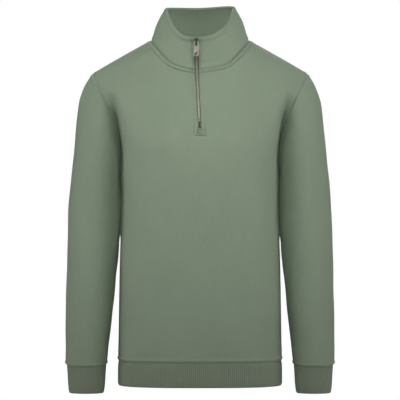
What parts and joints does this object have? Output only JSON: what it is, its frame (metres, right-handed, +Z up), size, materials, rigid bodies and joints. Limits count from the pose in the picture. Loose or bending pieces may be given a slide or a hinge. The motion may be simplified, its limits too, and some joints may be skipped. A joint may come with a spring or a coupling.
{
  "type": "quarter zip sweater",
  "caption": "Long-sleeved pull-over with a stand collar, a short front zip with a pull tab, and ribbed cuffs and waistband, hollow and filled out as worn.",
  "frame": {"origin": "midway between the two neck points of the shoulders, where the collar, front and back meet, at the height of the shoulder seams' inner ends", "axes": "+X to the wearer's left, -Y to the front, +Z up"},
  "size_m": [0.5424, 0.2564, 0.7836],
  "materials": {
    "fleece": "brushed jersey",
    "rib": "ribbed knit",
    "tape": "woven tape",
    "nickel": "antique nickel"
  },
  "bodies": {
    "garment": {"front_panel": "fleece", "back_panel": "fleece", "collar": "fleece", "sleeve_left": "fleece", "sleeve_right": "fleece", "cuff_left": "rib", "cuff_right": "rib", "waistband": "rib", "zip_tape_left": "tape", "zip_tape_right": "tape", "zip_stop": "nickel", "zip_slider": "nickel"},
    "tab": {"pull_tab": "nickel"}
  },
  "joints": [
    {"name": "pull_tab_hinge", "type": "hinge", "parent": "garment", "child": "tab", "pos_m": [-0.0076, -0.05771, -0.00609], "axis": [-1, 0, 0], "range_deg": [0, 180]}
  ]
}
